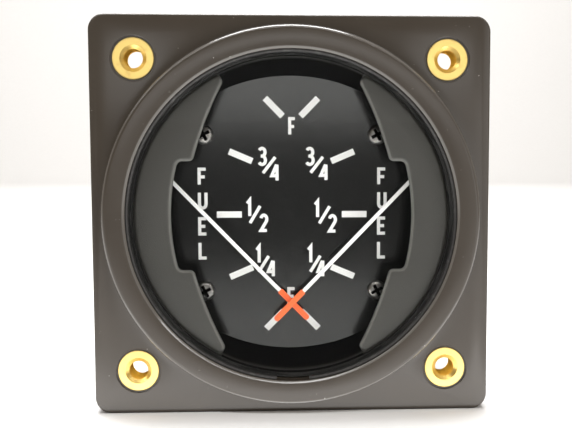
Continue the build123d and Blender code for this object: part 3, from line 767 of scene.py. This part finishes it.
# Pointer mask: one moulding in matt black plastic, textured like fine leather.
# Two crescents hide the needles' tails, and a well with tapering walls runs
# from their level down to the dial.
mask_low, mask_high = (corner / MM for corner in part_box("pointer_mask"))
mask_radius = mask_high.x
rim_front = lens_high.y + 0.4
rim_bore = mask_radius - 0.6
rim_back = rim_front + 1.35
rim_edge = 0.12
dial_front = mask_high.y
crescent_radius = rim_bore - 0.15
crescent_front = mask_low.y
crescent_back = rim_back
tip_angle = 62.9
tip_width = 1.4
tip_round = 0.75
edge_radius = 58.0
needle_x = 13.7
notch_radius = needle_x + 18.4
notch_half = 8.3
notch_ledge = 2.3
notch_round = 0.9
crescent_edge = 0.65
well_x, well_z = 24.0, 21.6
foot_x, foot_z = mask_radius, 22.9


def polar(radius, angle):
    return (radius * cos(radians(angle)), radius * sin(radians(angle)))


def edge_arc(start, end, radius, steps):
    """Points between two ends along an arc that bows to the left of the line."""
    (x0, z0), (x1, z1) = start, end
    half = hypot(x1 - x0, z1 - z0) / 2
    drop = (radius**2 - half**2) ** 0.5
    along = Vector((x1 - x0, z1 - z0)).normalized()
    middle = Vector(((x0 + x1) / 2, (z0 + z1) / 2)) + Vector((along.y, -along.x)) * drop
    first = atan2(z0 - middle.y, x0 - middle.x)
    last = atan2(z1 - middle.y, x1 - middle.x)
    return arc(middle.x, middle.y, radius, degrees(first), degrees(last), steps)


def crescent(side):
    """One crescent's outline: rim, tips, edges and a notch about the other pivot."""
    notch_angle = degrees(asin(notch_half / notch_radius))
    notch = (notch_radius * cos(radians(notch_angle)) - needle_x, notch_half)
    rim = polar(crescent_radius, tip_angle)
    tip = polar(crescent_radius - tip_width, tip_angle)
    ledge = (notch[0] - notch_ledge, notch_half)
    corners = [(*rim, tip_round), (*tip, tip_round)]
    corners += [(x, z, 0) for x, z in edge_arc(tip, ledge, edge_radius, 14)[1:-1]]
    corners += [(*ledge, 0), (*notch, notch_round)]
    follow = arc(-needle_x, 0, notch_radius, notch_angle, -notch_angle, 20)[2:-2]
    mirrored = [(x, -z, round_) for x, z, round_ in reversed(corners)]
    corners += [(x, z, 0) for x, z in follow]
    corners += mirrored
    corners += [(x, z, 0) for x, z in arc(0, 0, crescent_radius, -tip_angle, tip_angle, 90)[2:-2]]
    return rounded([(side * x, z, round_) for x, z, round_ in corners])


shell_outline = [
    (mask_radius, rim_front),
    (mask_radius, rim_back),
    (mask_radius, dial_front),
    (rim_bore, dial_front),
    (rim_bore, rim_back),
    (rim_bore, rim_front + rim_edge),
    (rim_bore + rim_edge, rim_front),
]
mask = turned("mask", shell_outline, around=256, closed=True)
for corner in mask.data.vertices:
    x, y, z = corner.co / MM
    if y > dial_front - 0.01:
        outside = hypot(x, z) > mask_radius - 0.3
        across, up = (foot_x, foot_z) if outside else (well_x, well_z)
        turn = atan2(z, x)
        corner.co = (across * cos(turn) * MM, y * MM, up * sin(turn) * MM)
mask.data.update()
crescents = []
for side in (-1, 1):
    piece = plate("crescent", crescent(side), crescent_front, crescent_back)
    soften(piece, crescent_edge, 40.0, 5)
    crescents.append(piece)
    web = [
        *arc(0, 0, mask_radius - 0.1, -tip_angle, tip_angle, 60),
        *arc(0, 0, crescent_radius - 0.5, tip_angle, -tip_angle, 60),
    ]
    web = [(side * x, z) for x, z in web]
    crescents.append(plate("web", web, rim_front + 0.25, crescent_back - 0.05))
mask = join("moulded_mask", smooth(mask, 30.0), *[smooth(piece, 40.0) for piece in crescents])

matt = Finish("matt_black_moulding", IOR=1.42)
grain = matt.noise(0.16, 3.0, 0.6)
pebble = matt.cells(5.5)
dust = matt.specks(2.2, 0.06) * matt.noise(5.0).band(0.46, 0.66)
x, y, z = matt.axes()
from_axis = away(x, z)
# Deep in the well, and on the rim's bore wall, the surface turns to a near-black matt: painted
# shade on the walls of the recess.
depth = y.band(rim_back - 0.2, rim_back + 1.2)
wall = from_axis.band(rim_bore - 0.1, rim_bore - 0.03)
dark = 1 - (1 - depth) * (1 - wall)
# Behind the crescents' front face, their rounded edges and sides are made lighter grey: painted
# highlight on the edges.
within = 1 - from_axis.band(rim_bore - 1.2, rim_bore - 0.9)
lip_highlight = y.band(crescent_front + 0.01, crescent_front + 0.2) * within
tone = matt.mix(grain, (0.031, 0.030, 0.027, 1), (0.047, 0.045, 0.041, 1))
tone = matt.mix(lip_highlight, tone, (0.14, 0.138, 0.13, 1))
matt.set(
    Base_Color=matt.mix(dust, tone, (0.45, 0.43, 0.40, 1)),
    Roughness=0.37 + grain * 0.08 + dust * 0.2,
)
matt.bump(pebble * 0.6 + grain * 0.4, 0.025)
painted_well_shade = matt.node("BsdfDiffuse", {}, Color=grey(0.004))
face = Value(matt, matt.shader.outputs["BSDF"])
surface(matt, matt.node("MixShader", {}, dark, face, painted_well_shade))
matt.paint(mask, "mask_plastic")
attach(mask, "case")
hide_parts("pointer_mask")

# Dial plate: aluminium sheet, painted semi-gloss black, cut back at both sides
# for the needles' tails. Ten white bars and plain quantity figures are printed.
dial_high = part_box("dial_plate")[1] / MM
dial_back = dial_high.y
dial_radius = dial_high.z
cut_radius = dial_radius - 4.6
cut_angle = 36.0
screw_z = 12.4
screw_places = four(needle_x, screw_z)
screw_hole = 1.15
key_half = (1.15, 0.95)
key_z = -25.0
ink_lift = 0.012
ink_sink = 0.002
bar_length = 3.95
bar_width = 1.0
bar_reach = 25.6
bar_angles = (-45.7, -22.9, 0.0, 22.9, 45.7)
bar_shift = (0.15, -0.2)
stroke = 0.5
letter_half = 0.77

dial_outline = [
    *arc(0, 0, dial_radius, cut_angle, 180 - cut_angle, 96),
    *arc(0, 0, cut_radius, 180 - cut_angle, 180 + cut_angle, 48),
    *arc(0, 0, dial_radius, 180 + cut_angle, 360 - cut_angle, 96),
    *arc(0, 0, cut_radius, -cut_angle, cut_angle, 48),
]
dial = plate("painted_dial", dial_outline, dial_front, dial_back)
hole = [(screw_hole, dial_front - overlap), (screw_hole, dial_back + overlap)]
for x, z in screw_places:
    combine(dial, "DIFFERENCE", turned("hole", hole, x, z, 32))
key = plate("key", square(*key_half, 0, 0, key_z), dial_front - overlap, dial_back + overlap)
combine(dial, "DIFFERENCE", key)
smooth(dial)
enamel = Finish("semi_gloss_black_enamel", IOR=1.5)
flow = enamel.noise(1.1, 3.0)
dust = enamel.specks(2.3, 0.04) * enamel.noise(4.0).band(0.5, 0.7)
enamel.set(
    Base_Color=enamel.mix(dust, (0.009, 0.009, 0.009, 1), (0.40, 0.38, 0.36, 1)),
    Roughness=0.14 + flow * 0.04 + dust * 0.4,
)
enamel.bump(enamel.noise(0.5, 2.0) * 0.5 + flow * 0.5, 0.002)
enamel.paint(dial, "dial_black")
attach(dial, "case")
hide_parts("dial_plate")

ink_pieces = []


def printed(outline):
    return plate("ink", outline, dial_front - ink_lift, dial_front - ink_sink)


def line(points):
    """A printed stroke of one width through (x, z) points."""
    half = stroke / 2
    ahead, back = [], []
    for index, (x, z) in enumerate(points):
        before = Vector(points[max(index - 1, 0)])
        after = Vector(points[min(index + 1, len(points) - 1)])
        here = Vector((x, z))
        arrive = (here - before).normalized() if index else (after - here).normalized()
        leave = (after - here).normalized() if index < len(points) - 1 else arrive
        normal = Vector((-(arrive + leave).y, (arrive + leave).x)).normalized()
        reach = half / max(normal.dot(Vector((-arrive.y, arrive.x))), 0.3)
        ahead.append(tuple(here + normal * reach))
        back.append(tuple(here - normal * reach))
    return printed(ahead + back[::-1])


def bowl(x, z, wide, high, start, end, steps):
    """A curved stroke inside a figure's box, from angle to angle in degrees."""
    turns = [radians(start + (end - start) * step / steps) for step in range(steps + 1)]
    return [(x + wide * cos(turn), z + high * sin(turn)) for turn in turns]


# Each figure is drawn in a box one unit wide and high, as strokes through points
figures = {
    "E": [[(1, 1), (0, 1), (0, 0), (1, 0)], [(0, 0.5), (0.85, 0.5)]],
    "F": [[(1, 1), (0, 1), (0, 0)], [(0, 0.5), (0.85, 0.5)]],
    "L": [[(0, 1), (0, 0), (1, 0)]],
    "U": [[(0, 1), *bowl(0.5, 0.26, 0.5, 0.26, 180, 360, 12), (1, 1)]],
    "1": [[(0, 0.8), (1, 1), (1, 0)]],
    "2": [[*bowl(0.5, 0.74, 0.5, 0.26, 165, -35, 12), (0, 0), (1, 0)]],
    "3": [
        [*bowl(0.42, 0.76, 0.52, 0.24, 150, -90, 12), (0.2, 0.52)],
        [(0.25, 0.52), *bowl(0.42, 0.26, 0.58, 0.26, 90, -150, 12)],
    ],
    "4": [[(0.78, 0), (0.78, 1)], [(0.72, 1), (0, 0.3), (1, 0.3)]],
}


def figure(mark, left, right, low, high):
    """One figure that fills the given box, its strokes' width included."""
    inset = stroke / 2
    wide, tall = right - left - stroke, high - low - stroke
    strokes = [
        line([(left + inset + u * wide, low + inset + v * tall) for u, v in points])
        for points in figures[mark]
    ]
    ink_pieces.append(combine(strokes[0], "UNION", *strokes[1:]))


for side in (-1, 1):
    for angle in bar_angles:
        pivot = Vector((side * needle_x + bar_shift[0], bar_shift[1]))
        outer = pivot + Vector(polar(bar_reach, angle)) * -side
        middle = pivot + Vector(polar(bar_reach - bar_length / 2, angle)) * -side
        along = (outer - middle).normalized() * bar_length / 2
        across = Vector((-along.y, along.x)).normalized() * bar_width / 2
        corners = (
            middle + along + across,
            middle + along - across,
            middle - along - across,
            middle - along + across,
        )
        ink_pieces.append(printed([tuple(corner) for corner in corners]))

# Each figure at the middle, with its left, right, low and high edges
for mark, left, right, low, high in (
    ("F", -0.40, 0.92, 12.18, 15.16),
    ("E", -0.66, 0.76, -14.80, -11.86),
    ("3", -5.18, -3.75, 7.45, 10.50),
    ("4", -3.27, -1.71, 4.93, 7.93),
    ("3", 2.35, 3.80, 7.45, 10.50),
    ("4", 4.50, 6.06, 5.00, 7.93),
    ("1", -7.20, -6.30, -0.70, 2.30),
    ("2", -5.03, -3.60, -3.00, -0.07),
    ("1", 3.58, 4.48, -0.90, 2.08),
    ("2", 5.88, 7.32, -3.15, -0.18),
    ("1", -5.76, -4.86, -8.12, -5.10),
    ("4", -3.92, -2.40, -10.34, -7.36),
    ("1", 2.48, 3.38, -8.14, -5.12),
    ("4", 4.00, 5.52, -10.40, -7.38),
):
    figure(mark, left, right, low, high)
# The slanting stroke of each fraction
for start, end in (
    ((-4.40, 6.35), (-2.45, 8.87)),
    ((3.15, 6.40), (5.10, 8.90)),
    ((-6.51, -1.57), (-4.91, 1.13)),
    ((4.50, -1.65), (6.15, 1.05)),
    ((-5.20, -9.40), (-3.60, -6.85)),
    ((3.05, -9.40), (4.65, -6.85)),
):
    ink_pieces.append(line([start, end]))
# The quantity word, one letter below the other at each side
for middle in (-13.95, 14.5):
    for mark, low, high in (
        ("F", 4.30, 7.22),
        ("U", 0.60, 3.52),
        ("E", -3.52, -0.60),
        ("L", -7.35, -4.43),
    ):
        figure(mark, middle - letter_half, middle + letter_half, low, high)
ink = join("printed_marks", *ink_pieces)
white = mottled("white_dial_ink", 0.5, grey(0.80), grey(0.90), 0.45, 0.15, 0.004)
white.paint(ink, "dial_black")
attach(ink, "case")

# Dial screws: four pan heads with cross recesses, blackened steel, through the
# dial into the movement frames.
screw_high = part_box("dial_screws")[1] / MM
screw_radius = 1.0
head_radius = 1.55
head_front = dial_front - 0.9
recess_half = (1.0, 0.27)
recess_depth = 0.6
recess_turns = (28, 118)
crown = [
    (0.35, head_front),
    (0.9, head_front + 0.05),
    (1.25, head_front + 0.18),
    (1.47, head_front + 0.42),
    (head_radius, dial_front - 0.25),
    (head_radius, dial_front),
    (screw_radius, dial_front),
    (screw_radius, screw_high.y),
]
screws = []
for x, z in screw_places:
    screw = turned("screw", crown, x, z, 64)
    for turn in recess_turns:
        along, aside = cos(radians(turn)), sin(radians(turn))
        blade = [
            (x + u * along - v * aside, z + u * aside + v * along)
            for u, v in square(*recess_half, 0.08)
        ]
        recess = plate("recess", blade, head_front - 0.2, head_front + recess_depth)
        combine(screw, "DIFFERENCE", recess)
    screws.append(smooth(screw, 30.0))
screws = join("cross_recess_screws", *screws)
oxide = Finish("blackened_screw_steel", Metallic=0.9)
wear = oxide.noise(0.6, 4.0, 0.6).band(0.45, 0.8)
x, y, z = oxide.axes()
from_screw = away(abs(x) - needle_x, abs(z) - screw_z)
# Inside the cross recesses the steel is painted near-black and rough: painted shade in the
# recesses.
recess_shade = y.band(head_front + 0.12, head_front + 0.3) * (1 - from_screw.band(1.0, 1.15))
metal = oxide.mix(wear, (0.17, 0.165, 0.16, 1), (0.46, 0.44, 0.41, 1))
oxide.set(
    Base_Color=oxide.mix(recess_shade, metal, grey(0.004)),
    Roughness=0.3 - wear * 0.08 + recess_shade * 0.4,
)
oxide.bump(oxide.noise(0.12, 3.0), 0.008)
oxide.paint(screws, "blackened_steel")
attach(screws, "case")
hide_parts("dial_screws")

# Needles: each a folded strip of thin aluminium, painted white, with a pointed
# paddle in fluorescent orange at its end. It passes round the edge of the dial.
tip_length = 23.4
paddle_start = tip_length - 6.4
paddle_half = 0.46
paddle_round = 0.4
heel_round = 0.2
blade_thick = 0.3
blade_half = 0.3
blade_depths = {"left": dial_front - 1.7, "right": dial_front - 3.0}
rest_angle = 45.8
tail_inside = -9.0 + blade_thick / 2
tail_outside = -9.0 - blade_thick / 2
inside_round = 0.35
outside_round = 0.65
arm_end = 0.7
hub_radius = 1.5
staff_radius = 0.42
needle_paint = mottled("white_needle_paint", 0.4, grey(0.86), grey(0.94), 0.4, 0.15, 0.006)
orange = mottled(
    "fluorescent_orange_paint",
    0.35,
    (0.95, 0.13, 0.030, 1),
    (1.0, 0.17, 0.040, 1),
    0.45,
    0.15,
    0.008,
)
for name, side in (("left", -1), ("right", 1)):
    arm_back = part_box(f"{name}_needle")[1].y / MM
    arm_front = arm_back - blade_thick
    front = blade_depths[name]
    back = front + blade_thick
    fold = rounded(
        [
            (arm_end, arm_front, 0),
            (tail_inside, arm_front, inside_round),
            (tail_inside, back, inside_round),
            (paddle_start, back, 0),
            (paddle_start, front, 0),
            (tail_outside, front, outside_round),
            (tail_outside, arm_back, outside_round),
            (arm_end, arm_back, 0),
        ]
    )
    strip = plate("strip", [(along, -y) for along, y in fold], -blade_half, blade_half)
    soften(strip, 0.04, 60.0, 2)
    paddle_outline = rounded(
        [
            (paddle_start, paddle_half, heel_round),
            (paddle_start, -paddle_half, heel_round),
            (tip_length, -paddle_half, paddle_round),
            (tip_length, paddle_half, paddle_round),
        ]
    )
    paddle = soften(plate("paddle", paddle_outline, front, back), 0.05, 25.0, 2)
    turn = radians(rest_angle if side < 0 else 180 - rest_angle)
    strip.rotation_euler = (pi / 2, turn, 0)
    paddle.rotation_euler = (0, turn, 0)
    for piece in (strip, paddle):
        piece.location = (side * needle_x * MM, 0, 0)
        smooth(settle(piece, piece.name))
    hub_outline = [
        (staff_radius, arm_front),
        (hub_radius, arm_front),
        (hub_radius, arm_back),
        (staff_radius, arm_back),
    ]
    hub = smooth(turned("hub", hub_outline, side * needle_x, 0, 64, closed=True))
    strip = join(f"{name}_needle_strip", strip, hub)
    paddle = settle(paddle, f"{name}_needle_paddle")
    needle_paint.paint(strip, "needle_paint")
    orange.paint(paddle, "needle_paint")
    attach(strip, f"{name}_needle_body")
    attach(paddle, f"{name}_needle_body")
    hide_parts(f"{name}_needle")

# Movements: two moving coil movements, one behind each needle. A cast zinc frame
# holds a soft iron ring and a magnet; the wound coil turns between them on steel
# pivots, held by two bronze hairsprings and balanced by a cross with two beads.
slots = {entry["node"]: entry["material_slot"] for entry in frame["record"]["subparts"]}


def worn_metal(name, bright, dull, rough, streak=(1, 1, 1), size=1.2, relief=0.01):
    """A plain metal whose tone wanders between two colours, with a grain in its gloss."""
    metal = Finish(name, Metallic=1.0)
    patch = metal.noise(size, 4.0, 0.6)
    grain = metal.noise(size / 8, 3.0, 0.6, stretch=streak)
    metal.set(
        Base_Color=metal.mix(patch.band(0.35, 0.7), bright, dull),
        Roughness=rough - 0.08 + patch * 0.1 + grain * 0.08,
    )
    metal.bump(grain, relief)
    return metal


clean_brass, dull_brass = (0.80, 0.62, 0.30, 1), (0.62, 0.46, 0.21, 1)
clean_bronze, dull_bronze = (0.74, 0.46, 0.24, 1), (0.62, 0.36, 0.19, 1)
clean_zinc, dull_zinc = grey(0.52, 0.04), grey(0.38, 0.03)
rusted_iron = (0.30, 0.27, 0.24, 1)
finishes = {
    "movement_brass": worn_metal("movement_brass", clean_brass, dull_brass, 0.3),
    "bare_aluminium": worn_metal("bare_aluminium", grey(0.78), grey(0.62), 0.35, (1, 8, 1)),
    "magnet_alloy": worn_metal("cast_magnet_alloy", grey(0.40), grey(0.26), 0.5, relief=0.03),
    "hairspring_bronze": worn_metal("hairspring_bronze", clean_bronze, dull_bronze, 0.25),
    "cast_zinc": worn_metal("cast_zinc", clean_zinc, dull_zinc, 0.5, relief=0.04, size=2.0),
    "soft_iron": worn_metal("soft_iron", grey(0.40), rusted_iron, 0.45, (1, 1, 6)),
    "plated_steel": zinc,
    "blackened_steel": oxide,
    "terminal_brass": plated_brass,
}

winding = Finish("enamelled_copper_wire", Metallic=1.0)
patch = winding.noise(0.5, 2.0)
strand = ripples(winding, winding.axes()[1], 14.0)
winding.set(
    Base_Color=winding.mix(patch, (0.70, 0.26, 0.10, 1), (0.52, 0.17, 0.07, 1)),
    Roughness=0.28 + strand * 0.15,
)
winding.bump(strand, 0.03)
finishes["copper_winding"] = winding

# Electrics: a round laminate board on the terminal studs, behind the movements.
# It carries a calibration trimmer for each movement and four scaling resistors.
laminate = Finish("brown_paper_laminate")
fibre = laminate.noise(0.5, 4.0, 0.65, stretch=(1, 1, 3))
laminate.set(
    Base_Color=laminate.mix(fibre, (0.20, 0.105, 0.045, 1), (0.30, 0.17, 0.075, 1)),
    Roughness=0.4 + fibre * 0.15,
)
laminate.bump(fibre, 0.01)

trimmer = Finish("blue_trimmer_plastic")
patch = trimmer.noise(1.5, 3.0)
trimmer.set(
    Base_Color=trimmer.mix(patch, (0.016, 0.06, 0.21, 1), (0.025, 0.09, 0.27, 1)),
    Roughness=0.36 + patch * 0.12,
)
trimmer.bump(trimmer.noise(0.2), 0.01)

resistor = Finish("tan_resistor_coating")
patch = resistor.noise(0.8, 3.0)
resistor.set(
    Base_Color=resistor.mix(patch, (0.46, 0.33, 0.19, 1), (0.56, 0.42, 0.26, 1)),
    Roughness=0.35 + patch * 0.15,
)
resistor.bump(resistor.noise(0.3), 0.01)

# Every CAD node gets the finish of its slot, the replaced ones too
finishes |= {
    "board_laminate": laminate,
    "trimmer_plastic": trimmer,
    "resistor_body": resistor,
    "case_plastic": plastic,
    "insert_brass": brass,
    "mask_plastic": matt,
    "lens_glass": glass,
    "gasket_rubber": rubber,
    "blackened_wire": steel,
    "dial_black": enamel,
    "needle_paint": needle_paint,
}
for node, slot in slots.items():
    finishes[slot].paint(frame["nodes"][node])

# Stage: a white paper sweep under the gauge, lit from above and a little behind.
# A lit strip over the camera, a dark card behind it and a low strip on the floor
# stand for what the glossy faces mirror in the photo.
camera_place = (-3.64, -180.0, 10.33)
camera_aim = (7.78, 0.0, -8.47)
camera_focal = 74.52
camera_shift = 0.1
floor_level = -flange_half
sweep_size = 2.4
sweep_middle = 0.25
sweep_height = 1.6
sweep_round = 250.0
sky_colour = (1.0, 0.88, 0.74, 1)
sky_strength = 0.36
card_place = (-26.0, -186.0, -8.0)
card_half = (84.0, 25.0)


def look(thing, place, target):
    """Put a thing at a place and face it toward the target, both in mm."""
    thing.location = Vector(place) * MM
    thing.rotation_euler = (Vector(target) - Vector(place)).to_track_quat("-Z", "Y").to_euler()


deselect()
bpy.ops.mesh.primitive_plane_add(size=sweep_size, location=(0, sweep_middle, floor_level * MM))
floor = bpy.context.object
bpy.ops.object.mode_set(mode="EDIT")
bpy.ops.mesh.select_all(action="DESELECT")
bpy.ops.object.mode_set(mode="OBJECT")
for edge in floor.data.edges:
    ends = [floor.data.vertices[corner].co.y for corner in edge.vertices]
    edge.select = min(ends) > 0
bpy.ops.object.mode_set(mode="EDIT")
bpy.ops.mesh.extrude_region_move(TRANSFORM_OT_translate={"value": (0, 0, sweep_height)})
bpy.ops.object.mode_set(mode="OBJECT")
settle(floor, "sweep")
soften(floor, sweep_round, 60.0, 16)
smooth(floor, 60.0)
paper = mottled("white_paper", 3.0, grey(0.82), grey(0.86), 0.85, 0.1, 0.02, detail=4.0)
paper.paint(floor)

world = bpy.data.worlds.new("soft_white")
world.use_nodes = True
sky = world.node_tree.nodes["Background"]
sky.inputs["Color"].default_value = sky_colour
sky.inputs["Strength"].default_value = sky_strength
bpy.context.scene.world = world
bpy.context.scene.view_settings.view_transform = "Standard"

# Each light: place and aim in mm, width and height in mm, and how bright its face is
for name, place, target, width, height, brightness in (
    ("top_light", (-15, 95, 335), (0, 5, 0), 260, 180, 20.0),
    ("strip_light", (0, -186, 33), (0, 0, 10), 150, 30, 2.6),
    ("right_light", (170, -190, 30), (0, 0, 0), 150, 120, 1.5),
    ("front_light", (-30, -150, 260), (0, 0, 0), 850, 22, 15.0),
    ("low_light", (0, -13, -29.9), (0, -13, 0), 110, 25, 2.2),
    ("backdrop_light", (0, 500, 600), (0, 1450, 200), 500, 400, 14.0),
):
    light = bpy.data.lights.new(name, "AREA")
    light.shape = "RECTANGLE"
    light.size = width * MM
    light.size_y = height * MM
    light.energy = brightness * pi * width * height * MM**2
    lamp = bpy.data.objects.new(name, light)
    bpy.context.scene.collection.objects.link(lamp)
    look(lamp, place, target)
    lamp.visible_camera = False

camera_data = bpy.data.cameras.new("photo_camera")
camera_data.lens = camera_focal
camera_data.shift_x = -camera_shift
camera_data.shift_y = camera_shift
camera_data.clip_start = 0.01
camera = bpy.data.objects.new("photo_camera", camera_data)
bpy.context.scene.collection.objects.link(camera)
look(camera, camera_place, camera_aim)
bpy.context.scene.camera = camera

deselect()
bpy.ops.mesh.primitive_plane_add(size=2.0, location=(0, 0, 0))
card = bpy.context.object
card_size = (card_half[0] * MM, card_half[1] * MM, 1)
bpy.ops.transform.resize(value=card_size, center_override=(0, 0, 0))
settle(card, "camera_card")
look(card, card_place, (card_place[0], 0, card_place[2]))
card.visible_camera = False
card.visible_shadow = False
card.visible_diffuse = False
black = Finish("dark_card")
tooth = black.noise(2.0)
black.set(Base_Color=black.mix(tooth, grey(0.05), grey(0.07)), Roughness=0.85 + tooth * 0.1)
black.paint(card)
